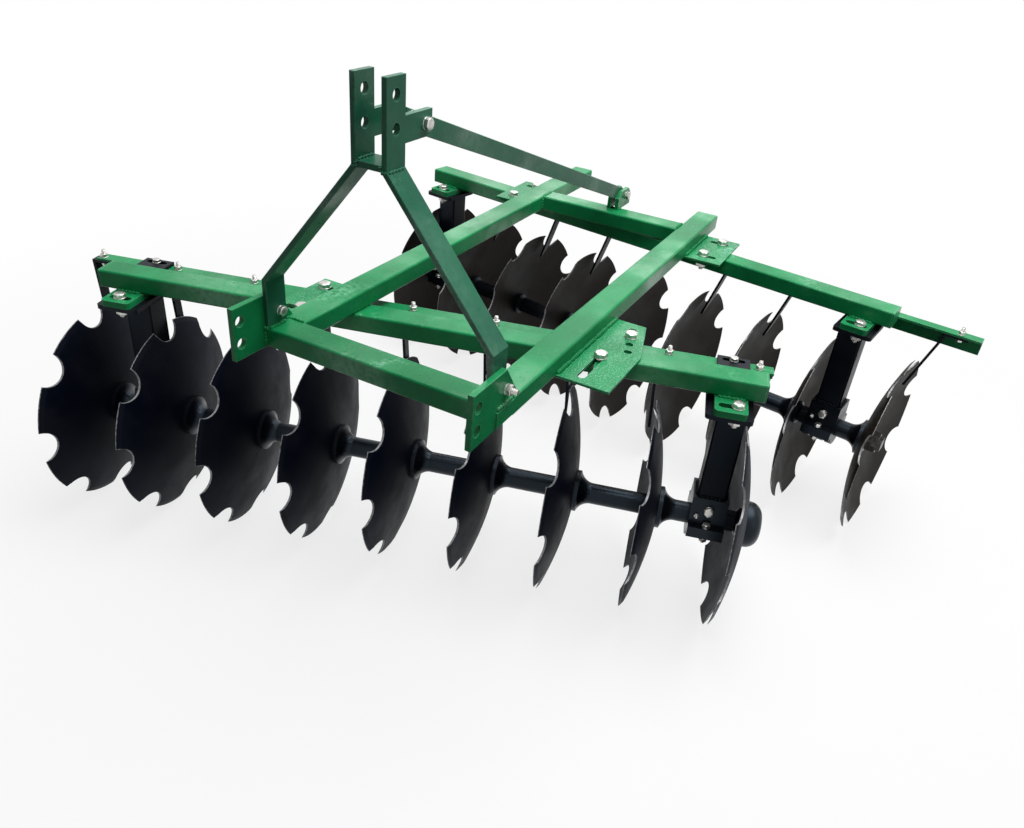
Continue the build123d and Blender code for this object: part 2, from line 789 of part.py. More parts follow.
def gang_shaft(gang):
    """Square shaft with a washer and a nut on the cupped end, flush with the bell at the other."""
    cup_end = hub_places[-1] + disc_thickness / 2
    bell_end = hub_places[0] - disc_thickness / 2 - end_bell_length
    with BuildPart() as shaft:
        with BuildSketch(gang.section(bell_end)):
            with Locations((0, gang.axis_height)):
                Rectangle(shaft_side, shaft_side)
        extrude(amount=cup_end - bell_end + washer_thickness + nut_height + shaft_proud)
        with BuildSketch(gang.section(cup_end)):
            with Locations((0, gang.axis_height)):
                Circle(washer_radius)
        extrude(amount=washer_thickness)
        with BuildSketch(gang.section(cup_end + washer_thickness)):
            with Locations((0, gang.axis_height)):
                RegularPolygon(nut_across / 2, 6, major_radius=False)
        extrude(amount=nut_height)
    save(shaft, f"{gang.name}_gang_shaft")


def scraper_bar(gang):
    """Angle bar behind the gang beam: one flange flat on top, one hanging at the rear."""
    hand = gang.hand
    low = gang.bar_top - scraper_bar_drop
    under = gang.bar_top - scraper_bar_wall
    inside = gang.bar_rear - scraper_bar_wall
    holder_end = seat_places[0] - holder_length / 2
    strip_end = hub_places[0] + min(gang.scraper_bend, gang.scraper_end)
    inner_end = min(holder_end, strip_end) - scraper_bar_margin
    outer_end = hub_places[-1] + scraper_bar_pasts[gang.name]
    with BuildPart() as bar:
        with BuildSketch(gang.section(inner_end)):
            with BuildLine():
                Polyline(*[(hand * x, y) for x, y in (
                    (gang.bar_front, gang.bar_top), (gang.bar_rear, gang.bar_top),
                    (gang.bar_rear, low), (inside, low), (inside, under),
                    (gang.bar_front, under))], close=True)
            make_face()
        extrude(amount=outer_end - inner_end)
    save(bar, f"{gang.name}_scraper_bar")


def scraper_bar_holders(gang):
    """Slotted plates on the gang beam's rear side that the scraper bar hangs from."""
    middle = (tube_width / 2 + gang.bar_rear) / 2
    bar_middle = (gang.bar_front + gang.bar_rear) / 2
    with BuildPart() as holders:
        for place in seat_places:
            with BuildSketch(gang.floor(gang.bar_top)):
                with Locations((place, gang.hand * middle)):
                    Rectangle(holder_length, gang.bar_rear - tube_width / 2)
                with Locations((place, gang.hand * bar_middle)):
                    SlotCenterToCenter(seat_slot, holder_slot_width, mode=Mode.SUBTRACT)
            extrude(amount=holder_thickness)
    save(holders, f"{gang.name}_bar_holders")


def scrapers(gang):
    """Flat strips bent from under the scraper bar down into the hollow of each disc, cut to a point."""
    front = gang.bar_front + scraper_inset
    tip_z = gang.axis_height + scraper_tip_rise
    with BuildPart() as row:
        for hub in hub_places:
            path = [
                (hub + gang.scraper_end, gang.scraper_top), (hub + gang.scraper_bend, gang.scraper_top),
                (hub + gang.scraper_tip, tip_z)]
            with BuildSketch(gang.upright(front)):
                with BuildLine():
                    Polyline(*bar_outline(path, scraper_thickness), close=True)
                make_face()
            extrude(amount=-gang.hand * scraper_width)
        with BuildSketch(gang.section(hub_places[0])):
            with BuildLine():
                Polyline(*[(gang.hand * x, y) for x, y in (
                    (front + scraper_width, tip_z + scraper_tip_cut),
                    (front + scraper_width, tip_z - scraper_tip_cut),
                    (front, tip_z - scraper_tip_cut), (front, tip_z))], close=True)
            make_face()
        extrude(amount=hub_places[-1] - hub_places[0] + disc_pitch, mode=Mode.SUBTRACT)
    save(row, f"{gang.name}_scrapers")


for gang in (front_gang, rear_gang):
    gang_beam(gang)
    bracket_lugs(gang)
    standard_seats(gang)
    bearing_blocks(gang)
    bearing_caps(gang)
    discs(gang)
    spools(gang)
    end_bell(gang)
    gang_shaft(gang)
    scraper_bar(gang)
    scraper_bar_holders(gang)
    scrapers(gang)

standard(front_gang, standard_places[1], "front_right_standard")
standard(front_gang, standard_places[0], "front_left_standard")
standard(rear_gang, standard_places[1], "rear_left_standard")
standard(rear_gang, standard_places[0], "rear_right_standard")
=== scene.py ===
"""Looks of a mounted disc harrow: finishes, fasteners, welds, floor, light and camera."""

import json
import logging
import math
from dataclasses import dataclass, field
from enum import Enum
from typing import Sequence

import bpy
import numpy as np
from mathutils import Matrix, Vector


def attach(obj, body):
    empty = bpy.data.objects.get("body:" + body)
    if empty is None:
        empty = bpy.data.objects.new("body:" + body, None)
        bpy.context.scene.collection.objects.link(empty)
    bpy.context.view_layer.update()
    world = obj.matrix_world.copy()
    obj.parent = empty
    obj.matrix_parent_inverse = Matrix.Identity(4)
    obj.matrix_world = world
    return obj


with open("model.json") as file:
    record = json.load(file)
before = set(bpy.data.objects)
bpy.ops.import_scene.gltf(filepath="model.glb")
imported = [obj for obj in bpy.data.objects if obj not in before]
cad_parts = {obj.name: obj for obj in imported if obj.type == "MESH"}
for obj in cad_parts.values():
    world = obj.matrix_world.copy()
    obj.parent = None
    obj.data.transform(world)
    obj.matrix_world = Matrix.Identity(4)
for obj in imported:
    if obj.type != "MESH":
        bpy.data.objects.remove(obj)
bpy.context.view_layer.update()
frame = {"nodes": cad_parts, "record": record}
LOG = logging.getLogger("harrow")

Socket = bpy.types.NodeSocket
Colour = tuple[float, float, float]


class Graph:
    """A material's node tree, with short calls for the nodes that the finishes use."""

    def __init__(self, name: str) -> None:
        """Start a material with its shader.

        Args:
            name: Name of the material.
        """
        self.material = bpy.data.materials.new(name)
        self.material.use_nodes = True
        self.tree = self.material.node_tree
        self.shader = self.tree.nodes["Principled BSDF"]
        self.place: Socket = self.tree.nodes.new("ShaderNodeTexCoord").outputs["Object"]

    def put(self, socket: Socket, value: object) -> None:
        """Link a socket, or set a plain value, into an input.

        Args:
            socket: The input.
            value: A socket to link, or a number or colour to set.
        """
        if isinstance(value, bpy.types.NodeSocket):
            self.tree.links.new(value, socket)
        elif isinstance(value, tuple) and len(value) == 3 and socket.type == "RGBA":
            socket.default_value = (*value, 1.0)
        else:
            socket.default_value = value

    def mapped(self, shift: Sequence[float], turn: float) -> Socket:
        """Object coordinates seen from a point and turned about the upright axis.

        Args:
            shift: The point that becomes the origin, in metres.
            turn: Heading of the new x axis, in radians.

        Returns:
            The mapped coordinates.
        """
        node = self.tree.nodes.new("ShaderNodeMapping")
        node.vector_type = "TEXTURE"
        self.put(node.inputs["Vector"], self.place)
        node.inputs["Location"].default_value = tuple(shift)
        node.inputs["Rotation"].default_value = (0.0, 0.0, turn)
        return node.outputs["Vector"]

    def noise(self, scale: float, detail: float, rough: float = 0.55, warp: float = 0.0) -> Socket:
        """Fractal noise between 0 and 1.

        Args:
            scale: Waves per metre.
            detail: Octaves.
            rough: Share that each finer octave keeps.
            warp: Distortion.

        Returns:
            The noise value.
        """
        node = self.tree.nodes.new("ShaderNodeTexNoise")
        self.put(node.inputs["Vector"], self.place)
        for key, value in (("Scale", scale), ("Detail", detail), ("Roughness", rough), ("Distortion", warp)):
            node.inputs[key].default_value = value
        return node.outputs["Fac"]

    def step(self, value: Socket, low: float, high: float,
             bottom: float = 0.0, top: float = 1.0) -> Socket:
        """Smooth step of a value.

        Args:
            value: The value.
            low: Where the step starts.
            high: Where it ends.
            bottom: Result before the start.
            top: Result after the end.

        Returns:
            The stepped value.
        """
        node = self.tree.nodes.new("ShaderNodeMapRange")
        node.interpolation_type = "SMOOTHSTEP"
        for key, item in zip(("Value", "From Min", "From Max", "To Min", "To Max"),
                             (value, low, high, bottom, top)):
            self.put(node.inputs[key], item)
        return node.outputs["Result"]

    def calc(self, work: str, *values: object) -> Socket:
        """One step of arithmetic.

        Args:
            work: Name of the operation.
            values: Its sockets or numbers.

        Returns:
            The result.
        """
        node = self.tree.nodes.new("ShaderNodeMath")
        node.operation = work
        for socket, value in zip(node.inputs, values):
            self.put(socket, value)
        return node.outputs[0]

    def times(self, first: Socket, *others: object) -> Socket:
        """Product of a socket and other sockets or numbers.

        Args:
            first: The first factor.
            others: The other factors, taken in turn.

        Returns:
            The product.
        """
        for other in others:
            first = self.calc("MULTIPLY", first, other)
        return first

    def reach(self, across: Socket, up: Socket) -> Socket:
        """Distance from the origin of a point with two coordinates."""
        return self.calc("SQRT", self.calc("ADD", self.times(across, across), self.times(up, up)))

    def veil(self, cloud: Socket, grain: Socket) -> Socket:
        """Share of dust: patches of the cloud, broken up by the grain."""
        return self.times(self.step(cloud, 0.35, 0.75), self.step(grain, 0.2, 0.8, 0.4, 1.0))

    def mix(self, share: object, first: object, second: object) -> Socket:
        """Mix of two colours.

        Args:
            share: Share of the second colour.
            first: First colour.
            second: Second colour.

        Returns:
            The mixed colour.
        """
        node = self.tree.nodes.new("ShaderNodeMix")
        node.data_type = "RGBA"
        self.put(node.inputs[0], share)
        self.put(node.inputs[6], first)
        self.put(node.inputs[7], second)
        return node.outputs[2]

    def parts(self, vector: Socket) -> tuple[Socket, Socket, Socket]:
        """The three parts of a vector.

        Args:
            vector: The vector.

        Returns:
            Its x, y and z.
        """
        node = self.tree.nodes.new("ShaderNodeSeparateXYZ")
        self.put(node.inputs[0], vector)
        return tuple(node.outputs)

    def upward(self) -> Socket:
        """How far the surface looks up, from -1 to 1."""
        return self.parts(self.tree.nodes.new("ShaderNodeNewGeometry").outputs["Normal"])[2]

    def edges(self, reach: float) -> Socket:
        """Nearness to an edge: how far a rounded normal leans from the plain one.

        Args:
            reach: Radius of the rounding in metres.

        Returns:
            0 on flat faces, more towards the edges.
        """
        rounded = self.tree.nodes.new("ShaderNodeBevel")
        rounded.samples = 4
        rounded.inputs["Radius"].default_value = reach
        plain = self.tree.nodes.new("ShaderNodeNewGeometry")
        dot = self.tree.nodes.new("ShaderNodeVectorMath")
        dot.operation = "DOT_PRODUCT"
        self.put(dot.inputs[0], rounded.outputs["Normal"])
        self.put(dot.inputs[1], plain.outputs["Normal"])
        return self.calc("SUBTRACT", 1.0, dot.outputs["Value"])

    def bump(self, height: Socket, depth: float, strength: float) -> None:
        """Raise the surface by a height field.

        Args:
            height: Height, 0 to 1.
            depth: Depth of a full height in metres.
            strength: Strength of the effect.
        """
        node = self.tree.nodes.new("ShaderNodeBump")
        node.inputs["Strength"].default_value = strength
        node.inputs["Distance"].default_value = depth
        self.put(node.inputs["Height"], height)
        self.put(self.shader.inputs["Normal"], node.outputs["Normal"])

    def dress(self, **values: object) -> bpy.types.Material:
        """Fill the shader's inputs.

        Args:
            values: Input names, with _ for a space, and what goes into them.

        Returns:
            The finished material.
        """
        for key, value in values.items():
            self.put(self.shader.inputs[key.replace("_", " ")], value)
        return self.material


# Sizes of the layout are in millimetres, with the floor at height 0.
MM = 0.001
LAYOUT_MIDDLE = np.array((-78.2686, 40.5104, 0.0))
UP = np.array((0.0, 0.0, 1.0))
FRAME_TOP = 622.0
FRAME_BOTTOM = 582.0
BEAM_INNER = 197.0
BEAM_OUTER = 257.0
BRACKET_Y = 303.5
PAIR = np.array((-1.0, 1.0))


def placed(points: np.ndarray) -> np.ndarray:
    """Layout millimetres less the layout's middle, in metres.

    Args:
        points: Points in the layout.

    Returns:
        The points in the harrow's frame.
    """
    return (np.asarray(points, float) - LAYOUT_MIDDLE) * MM


@dataclass(frozen=True)
class GangLayout:
    """Axis of one gang and the places along it, in millimetres of the layout.

    Hand is the side that the discs' hollows face, -1 for right and 1 for left. Angles are in degrees.
    """

    name: str
    hand: int
    axis_x: float
    angle: float
    shift: float
    axis_height: float
    notch_turn: float
    bar_front: float
    bar_top: float
    scraper_bolt: float
    seat_slides: tuple[float, float]
    pitch: float = 184.8
    discs: int = 9
    standard_shift: float = -14.0
    seat_shift: float = 12.0

    @property
    def along(self) -> np.ndarray:
        """Unit vector along the axis, towards the hollow of the discs."""
        turn = math.radians(self.angle)
        return np.array((math.sin(turn), self.hand * math.cos(turn), 0.0))

    @property
    def back(self) -> np.ndarray:
        """Unit vector across the axis, away from the tractor."""
        turn = math.radians(self.angle)
        return np.array((-math.cos(turn), self.hand * math.sin(turn), 0.0))

    @property
    def hubs(self) -> np.ndarray:
        """Places of the disc hubs along the axis."""
        return (np.arange(self.discs) - (self.discs - 1) / 2) * self.pitch

    @property
    def standards(self) -> np.ndarray:
        """Places of the two posts along the axis."""
        return PAIR * self.pitch * (self.discs - 2) / 2 + self.standard_shift

    @property
    def seats(self) -> np.ndarray:
        """Places of the two seats along the axis."""
        return self.standards + self.seat_shift

    def spot(self, along: np.ndarray, back: np.ndarray, height: np.ndarray) -> np.ndarray:
        """Axis start plus steps along the axis, across it and up.

        Args:
            along: Steps along the axis.
            back: Steps across it.
            height: Heights over the floor.

        Returns:
            Points in the layout, one row each.
        """
        steps = np.broadcast_arrays(*(np.asarray(v, float) for v in (along, back, height)))
        a, b, h = (v[..., None] for v in steps)
        start = np.array((self.axis_x, 0.0, 0.0))
        return start + (a + self.shift) * self.along + b * self.back + h * UP

    def crossing(self, y: float) -> float:
        """Place along the axis where it passes a layout y."""
        return y / self.along[1] - self.shift


FRONT = GangLayout(
    name="front", hand=-1, axis_x=265.0, angle=16.1, shift=86.0, axis_height=226.921, notch_turn=0.0,
    bar_front=68.0, bar_top=560.0, scraper_bolt=37.0, seat_slides=(-13.0, 0.0))
REAR = GangLayout(
    name="rear", hand=1, axis_x=-561.0, angle=8.5, shift=76.0, axis_height=230.0, notch_turn=22.5,
    bar_front=42.0, bar_top=550.0, scraper_bolt=115.0, seat_slides=(0.0, 8.0))
GANGS = (FRONT, REAR)


@dataclass(frozen=True)
class GreenEnamel:
    """Glossy green enamel, a little uneven, scuffed on the faces that look up, with a painted highlight along
    the edges and painted sheen specks on the faces that look up.

    Scales are waves of noise per metre.
    """

    name: str = "green_enamel"
    body: Colour = (0.011, 0.312, 0.102)
    deep: Colour = (0.006, 0.203, 0.066)
    # Colour of the scuffs, which are wear, and of the painted edge highlight and painted sheen specks.
    wear_and_highlight: Colour = (0.24, 0.58, 0.37)
    # Share of pale specks on the faces that look up: painted sheen.
    speck_sheen: float = 0.14
    cloud_scale: float = 7.0
    grain_scale: float = 95.0
    speck_scale: float = 320.0
    scuff_scale: float = 9.0
    sheen_scale: float = 3.4
    ripple_scale: float = 60.0
    ripple_depth: float = 0.0006
    edge_reach: float = 0.0022
    shine: float = 0.12
    coat_rough: float = 0.14

    def make(self) -> bpy.types.Material:
        """Noise mixes body and deep green; finer noise cuts out the scuffs and the painted sheen specks on
        the faces that look up, and an edge mask paints a highlight along the edges.

        Returns:
            The material.
        """
        g = Graph(self.name)
        cloud = g.noise(self.cloud_scale, 5.0)
        grain = g.noise(self.grain_scale, 6.0, 0.65)
        speck = g.step(g.noise(self.speck_scale, 3.0, 0.6), 0.52, 0.68)
        top = g.step(g.upward(), 0.6, 0.95)
        patch = g.step(g.noise(self.scuff_scale, 7.0, 0.68, warp=0.8), 0.55, 0.70)
        scuff = g.times(patch, g.step(grain, 0.42, 0.60), g.calc("MULTIPLY_ADD", top, 0.45, 0.12))
        # Pale specks on the faces that look up: painted sheen.
        painted_sheen_specks = g.times(speck, top, self.speck_sheen)
        colour = g.mix(g.step(cloud, 0.3, 0.7), self.deep, self.body)
        # Pale line along the edges: painted highlight.
        edge = g.step(g.edges(self.edge_reach), 0.03, 0.22)
        painted_edge_highlight = g.times(edge, g.step(grain, 0.35, 0.60, 0.30, 0.80))
        colour = g.mix(g.calc("ADD", scuff, painted_sheen_specks), colour, self.wear_and_highlight)
        colour = g.mix(painted_edge_highlight, colour, self.wear_and_highlight)
        rough = g.calc("ADD", g.step(grain, 0.2, 0.8, 0.24, 0.40), g.times(scuff, 0.4))
        sheen = g.step(g.noise(self.sheen_scale, 4.0, 0.6), 0.46, 0.66)
        coat = g.times(sheen, g.step(grain, 0.30, 0.62, 0.25, 0.8))
        g.bump(g.noise(self.ripple_scale, 3.0), self.ripple_depth, 0.35)
        return g.dress(Base_Color=colour, Roughness=rough, Specular_IOR_Level=self.shine, Coat_Weight=coat,
                       Coat_Roughness=self.coat_rough)


FRAME_GREEN = GreenEnamel()
# Brackets: a paler highlight colour and more pale specks on their tops, painted sheen.
BRACKET_SHEEN_GREEN = GreenEnamel("bracket_painted_sheen_enamel", wear_and_highlight=(0.40, 0.72, 0.58), speck_sheen=0.55)
# Darker copy of the frame green for the headstock and brace: painted shade.
SHADED_GREEN = GreenEnamel(
    "mast_painted_shade_enamel", body=(0.025, 0.167, 0.090), deep=(0.015, 0.116, 0.066), wear_and_highlight=(0.19, 0.43, 0.30))
# Tints of the enamels' reflections: painted cool and warm light.
COOL_SHEEN_TINT: Colour = (0.60, 0.80, 1.0)
WARM_SHEEN_TINT: Colour = (1.0, 0.88, 0.80)


@dataclass(frozen=True)
class BlackEnamel:
    """Satin black enamel with a cool sheen and a thin veil of brown dust."""

    name: str = "black_enamel"
    body: Colour = (0.0018, 0.0026, 0.0056)
    dust: Colour = (0.022, 0.019, 0.017)
    dusty: float = 0.45
    shine: float = 0.14
    rough: tuple[float, float] = (0.34, 0.50)
    cloud_scale: float = 9.0
    grain_scale: float = 140.0
    grain_depth: float = 0.0004

    def make(self) -> bpy.types.Material:
        """Two noises mix dust into the black and vary the gloss.

        Returns:
            The material.
        """
        g = Graph(self.name)
        cloud = g.noise(self.cloud_scale, 6.0, 0.6)
        grain = g.noise(self.grain_scale, 5.0, 0.6)
        colour = g.mix(g.times(g.veil(cloud, grain), self.dusty), self.body, self.dust)
        g.bump(grain, self.grain_depth, 0.3)
        return g.dress(Base_Color=colour, Roughness=g.step(cloud, 0.3, 0.7, *self.rough),
                       Specular_IOR_Level=self.shine, Specular_Tint=COOL_SHEEN_TINT)


POST_BLACK = BlackEnamel()
CAST_BLACK = BlackEnamel("cast_enamel", shine=0.30, rough=(0.24, 0.38))


@dataclass(frozen=True)
class DiscEnamel:
    """Black enamel of one gang's discs, worn to bare steel at the rim and the notches and made pale there to
    paint glints. Lengths are in metres.
    """

    gang: GangLayout
    # The defaults are the front gang's copy: darker, bluer and less dusty, painted shade.
    body: Colour = (0.0014, 0.0022, 0.0072)
    dust: Colour = (0.024, 0.020, 0.018)
    sheen: Colour = COOL_SHEEN_TINT
    dusty: float = 0.25
    # Colour of the bare rim: worn steel, made pale for painted glints.
    edge: Colour = (0.46, 0.46, 0.47)
    radius: float = 0.230
    notch_centre: float = 0.233
    notch_radius: float = 0.038
    notches: int = 8
    bright_rim_width: float = 0.0016
    fade: float = 0.0020
    ragged: float = 0.004
    bare_and_glint: float = 0.65
    metal: float = 0.8
    shine: float = 0.09
    rough: tuple[float, float] = (0.44, 0.60)
    cloud_scale: float = 11.0
    grain_scale: float = 150.0
    grain_depth: float = 0.0004

    def make(self) -> bpy.types.Material:
        """Polar distance from the axle marks the rim; distance to the nearest notch's middle marks the notch.

        The angle about the axle is folded into one notch's share, so one distance serves all notches.

        Returns:
            The material.
        """
        g = Graph(f"{self.gang.name}_disc_enamel")
        middle = placed(self.gang.spot(0.0, 0.0, self.gang.axis_height))
        back = self.gang.back
        across, _, up = g.parts(g.mapped(tuple(middle), math.atan2(back[1], back[0])))
        reach = g.reach(across, up)
        share = math.pi / self.notches
        angle = g.calc("SUBTRACT", g.calc("ARCTAN2", up, across), math.radians(self.gang.notch_turn))
        lean = g.calc("COSINE", g.calc("WRAP", angle, share, -share))
        square = g.calc("MULTIPLY_ADD", reach, reach, self.notch_centre ** 2)
        gap = g.calc("SUBTRACT", square, g.times(reach, lean, 2 * self.notch_centre))
        notch = g.calc("SUBTRACT", g.calc("SQRT", gap), self.notch_radius)
        rim = g.calc("SUBTRACT", self.radius, reach)
        near = g.calc("MINIMUM", notch, rim)
        cloud = g.noise(self.cloud_scale, 6.0, 0.6)
        grain = g.noise(self.grain_scale, 5.0, 0.6)
        ragged = g.calc("MULTIPLY_ADD", grain, self.ragged, near)
        # Pale bare band at the rim and the notches: worn steel, lightened for painted glints.
        bare_and_glint = g.times(g.step(ragged, self.bright_rim_width, self.bright_rim_width + self.fade, 1.0, 0.0), self.bare_and_glint)
        colour = g.mix(g.times(g.veil(cloud, grain), self.dusty), self.body, self.dust)
        colour = g.mix(bare_and_glint, colour, self.edge)
        g.bump(grain, self.grain_depth, 0.3)
        return g.dress(Base_Color=colour, Metallic=g.times(bare_and_glint, self.metal),
                       Roughness=g.step(cloud, 0.3, 0.7, *self.rough), Specular_IOR_Level=self.shine,
                       Specular_Tint=self.sheen)


# Front discs: darker and bluer, painted shade. Rear discs: browner and dustier, partly dust and partly
# painted light.
SHADED_FRONT_DISCS = DiscEnamel(FRONT)
REAR_DUST_AND_LIGHT_DISCS = DiscEnamel(
    REAR, body=(0.0034, 0.0030, 0.0030), dust=(0.038, 0.028, 0.023), sheen=WARM_SHEEN_TINT, dusty=0.75)


@dataclass(frozen=True)
class Steel:
    """Metal with fine marks: zinc plate on the bolts, oiled dark steel on the axles."""

    name: str
    light: Colour
    dark: Colour
    rough: tuple[float, float]
    streak_scale: float = 170.0
    streak_depth: float = 0.0003
    metal: float = 0.92

    def make(self) -> bpy.types.Material:
        """Noise darkens the metal and roughens it in streaks.

        Returns:
            The material.
        """
        g = Graph(self.name)
        streak = g.noise(self.streak_scale, 6.0, 0.7)
        colour = g.mix(g.step(streak, 0.3, 0.75), self.dark, self.light)
        g.bump(streak, self.streak_depth, 0.25)
        rough = g.step(streak, 0.2, 0.8, *self.rough)
        return g.dress(Base_Color=colour, Metallic=self.metal, Roughness=rough)


ZINC = Steel("zinc_plate", light=(0.72, 0.71, 0.68), dark=(0.44, 0.43, 0.41), rough=(0.26, 0.44))
OILED = Steel("oiled_steel", light=(0.20, 0.195, 0.19), dark=(0.060, 0.058, 0.056), rough=(0.26, 0.42))


@dataclass(frozen=True)
class PaleFloor:
    """Plain white studio floor: it keeps the shadow near the harrow and runs out into the white behind it."""

    name: str = "pale_floor"
    seen: Colour = (0.90, 0.90, 0.90)
    bounce: Colour = (0.14, 0.14, 0.14)
    lift: float = 0.78
    near: float = 1.0
    far: float = 2.6

    def make(self) -> bpy.types.Material:
        """Lens and gloss rays see a white floor; other rays see a grey one that throws less light.

        Returns:
            The material.
        """
        g = Graph(self.name)
        path = g.tree.nodes.new("ShaderNodeLightPath")
        seen = g.calc("MAXIMUM", path.outputs["Is Camera Ray"], path.outputs["Is Glossy Ray"])
        cloud = g.step(g.noise(1.5, 3.0), 0.2, 0.8)
        pale = g.mix(cloud, self.seen, tuple(min(1.0, c * 1.02) for c in self.seen))
        x, y, _ = g.parts(g.place)
        share = g.times(g.step(g.reach(x, y), self.near, self.far, self.lift, 1.0), seen)
        matte = g.calc("SUBTRACT", 1.0, share)
        colour = g.mix(matte, (0.0, 0.0, 0.0), g.mix(seen, self.bounce, pale))
        return g.dress(Base_Color=colour, Roughness=0.9, Specular_IOR_Level=0.0,
                       Emission_Color=(1.0, 1.0, 1.0), Emission_Strength=share)


@dataclass
class Shell:
    """Points and faces gathered for one mesh."""

    name: str
    points: list[np.ndarray] = field(default_factory=list)
    faces: list[list[int]] = field(default_factory=list)
    count: int = 0

    def put(self, points: np.ndarray, faces: Sequence[np.ndarray]) -> None:
        """Add copies of one surface.

        Args:
            points: Copies by points by three, in the layout.
            faces: Arrays of corner numbers within one copy.
        """
        copies, size = points.shape[:2]
        starts = self.count + np.arange(copies)[:, None, None] * size
        self.points.append(placed(points.reshape(-1, 3)))
        for block in faces:
            self.faces += (block[None] + starts).reshape(-1, block.shape[1]).tolist()
        self.count += copies * size

    def make(self, finish: bpy.types.Material, slot: str, body: str = "frame",
             crease: float = 40.0) -> bpy.types.Object:
        """Turn the gathered arrays into a piece that rides on a body.

        Args:
            finish: Its material.
            slot: The record's material slot; not used.
            body: The body that carries it.
            crease: Angle in degrees past which an edge stays sharp.

        Returns:
            The piece.
        """
        mesh = bpy.data.meshes.new(self.name)
        mesh.from_pydata(np.concatenate(self.points).tolist(), [], self.faces)
        mesh.materials.append(finish)
        mesh.shade_smooth()
        mesh.set_sharp_from_angle(angle=math.radians(crease))
        piece = bpy.data.objects.new(self.name, mesh)
        bpy.context.scene.collection.objects.link(piece)
        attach(piece, body)
        LOG.info("%s: %d points, %d faces", self.name, self.count, len(self.faces))
        return piece


def ring_faces(rings: int, sides: int) -> tuple[np.ndarray, np.ndarray]:
    """Corner numbers of a closed skin: quads between rings, a fan at either pole.

    Ring points come first, ring by ring, then the first and the last pole.

    Args:
        rings: Number of rings.
        sides: Points on a ring.

    Returns:
        The quads and the triangles.
    """
    p, j = np.meshgrid(np.arange(rings - 1), np.arange(sides), indexing="ij")
    k = (j + 1) % sides
    corners = [p * sides + j, (p + 1) * sides + j, (p + 1) * sides + k, p * sides + k]
    quads = np.stack(corners, -1).reshape(-1, 4)
    j = np.arange(sides)
    k = (j + 1) % sides
    last = (rings - 1) * sides
    first_fan = np.stack([np.full(sides, rings * sides), j, k], -1)
    last_fan = np.stack([np.full(sides, rings * sides + 1), last + k, last + j], -1)
    return quads, np.concatenate([first_fan, last_fan])


def side_vectors(axis: np.ndarray, turn: np.ndarray) -> tuple[np.ndarray, np.ndarray]:
    """Two unit vectors across each axis, turned about it.

    Args:
        axis: Unit vectors, one row each.
        turn: Angles in radians, one each.

    Returns:
        The two sets of vectors; with the axis they make a right-handed frame.
    """
    helper = np.where(np.abs(axis[:, 2:]) > 0.9, np.array((1.0, 0.0, 0.0)), UP)
    u = np.cross(helper, axis)
    u /= np.linalg.norm(u, axis=1, keepdims=True)
    v = np.cross(axis, u)
    c = np.cos(turn)[:, None]
    s = np.sin(turn)[:, None]
    return u * c + v * s, v * c - u * s


def ring_points(u: np.ndarray, v: np.ndarray, theta: np.ndarray) -> np.ndarray:
    """Unit circles in the planes of pairs of vectors.

    Args:
        u: First vectors, one row each.
        v: Second vectors.
        theta: Angles of the points.

    Returns:
        Circles by points by three.
    """
    return u[:, None] * np.cos(theta)[None, :, None] + v[:, None] * np.sin(theta)[None, :, None]


@dataclass(frozen=True)
class BoltSize:
    """Sizes of a hexagon bolt with a nut and two washers, in millimetres."""

    across: float
    shank: float
    head: float
    nut: float
    washer: float
    sheet: float
    tail: float
    pitch: float = 2.0
    thread: float = 0.9
    ease: float = 0.5
    bevel: float = 0.93

    def profile(self, grip: float) -> np.ndarray:
        """Radius, height and share of hexagon down the bolt, from the head's crown to the thread's end.

        Height 0 is the seat of the upper washer. The thread's radius swings between crest and root.

        Args:
            grip: Thickness that the bolt clamps.

        Returns:
            Rows of radius, height and share.
        """
        flat = self.across / 2
        core = self.shank / 2
        rim = self.washer / 2
        turned = flat * self.bevel
        top = self.sheet + self.head
        low = -grip - self.sheet
        end = low - self.nut
        head = [(flat * 0.55, top + 0.4, 0), (turned, top, 0), (flat, top - 0.12 * self.head, 1),
                (flat, self.sheet + 0.3, 1), (flat * 0.9, self.sheet, 0), (rim - self.ease, self.sheet, 0),
                (rim, self.sheet - self.ease, 0), (rim, 0.0, 0), (core, 0.0, 0)]
        nut = [(core, -grip, 0), (rim, -grip, 0), (rim, low + self.ease, 0), (rim - self.ease, low, 0),
               (turned, low, 0), (flat, low - 0.1 * self.nut, 1), (flat, end + 0.1 * self.nut, 1),
               (turned, end, 0), (core + 0.3, end, 0)]
        steps = np.arange(max(2, int(2 * self.tail / self.pitch)))
        crests = core - self.thread * (steps % 2)
        thread = np.stack([crests, end - steps * self.pitch / 2, np.zeros(len(steps))], -1)
        tip = np.array([(core * 0.8, end - self.tail, 0)])
        return np.concatenate([np.array(head), np.array(nut), thread, tip])


class BoltKind(Enum):
    """Bolts by where they go: across flats, shank, head, nut, washer, sheet, tail and pitch."""

    BRACKET = BoltSize(24.0, 12.0, 9.5, 12.0, 27.0, 2.5, 8.0)
    SEAT = BoltSize(22.0, 12.0, 8.5, 11.0, 26.0, 2.5, 7.0)
    FOOT = BoltSize(18.0, 11.0, 7.5, 8.5, 20.0, 2.0, 11.0)
    PIN = BoltSize(19.0, 11.0, 8.0, 9.0, 21.0, 2.0, 5.0)
    HOUSING = BoltSize(16.0, 9.0, 6.5, 8.0, 18.0, 2.0, 5.0, 1.5)
    SCRAPER = BoltSize(15.0, 9.0, 5.5, 7.5, 17.0, 1.6, 9.0, 1.5)
    SHORT_SCRAPER = BoltSize(15.0, 9.0, 5.5, 7.5, 17.0, 1.6, 3.0, 1.5)


# Radius, height and share of hexagon, from the tip down.
GREASE_NIPPLE = ((1.6, 13.0, 0.0), (3.2, 11.6, 0.0), (3.2, 9.6, 0.0), (2.0, 8.2, 0.0), (2.8, 6.2, 0.0),
                 (4.6, 5.4, 1.0), (4.6, 0.0, 1.0), (3.0, -2.0, 0.0))


